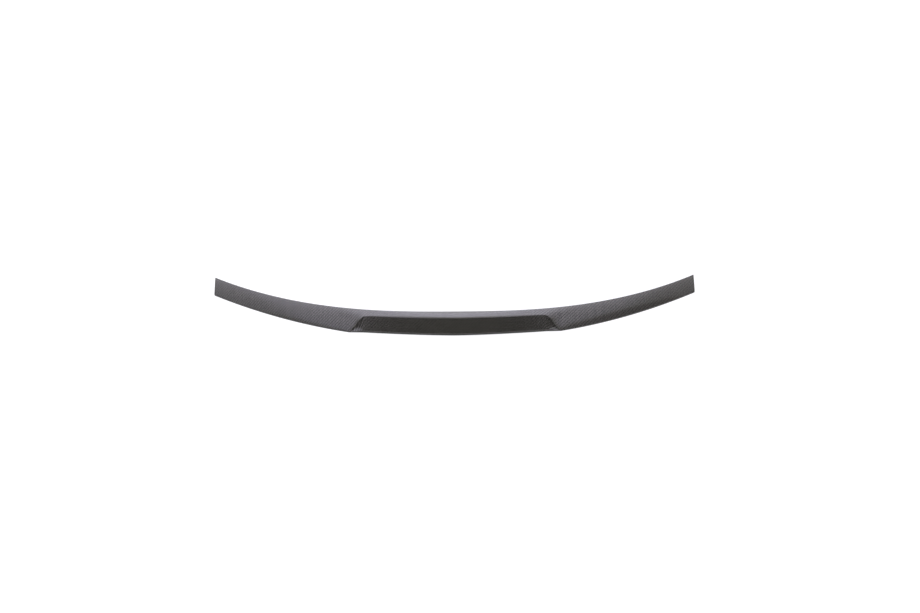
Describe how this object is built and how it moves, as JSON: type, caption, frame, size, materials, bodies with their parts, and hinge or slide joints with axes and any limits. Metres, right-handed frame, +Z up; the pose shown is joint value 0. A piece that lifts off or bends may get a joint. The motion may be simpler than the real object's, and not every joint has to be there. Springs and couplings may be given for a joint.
{
  "type": "car rear spoiler",
  "caption": "Boot-lid lip spoiler moulded in carbon-fibre laminate: a long bowed strip with a raised middle, a dark rear panel and slanting corner facets.",
  "frame": {"origin": "middle of the outline, in the plane on which the rear edge's foot stands", "axes": "+X across the car towards its right-hand tip as seen from behind, +Y towards the front of the car, +Z up"},
  "size_m": [1.2, 0.202, 0.0415],
  "materials": {
    "carbon_laminate": "2x2 twill carbon fibre under a clear gloss coat"
  },
  "bodies": {
    "root": {"spoiler": "carbon_laminate"}
  },
  "joints": []
}
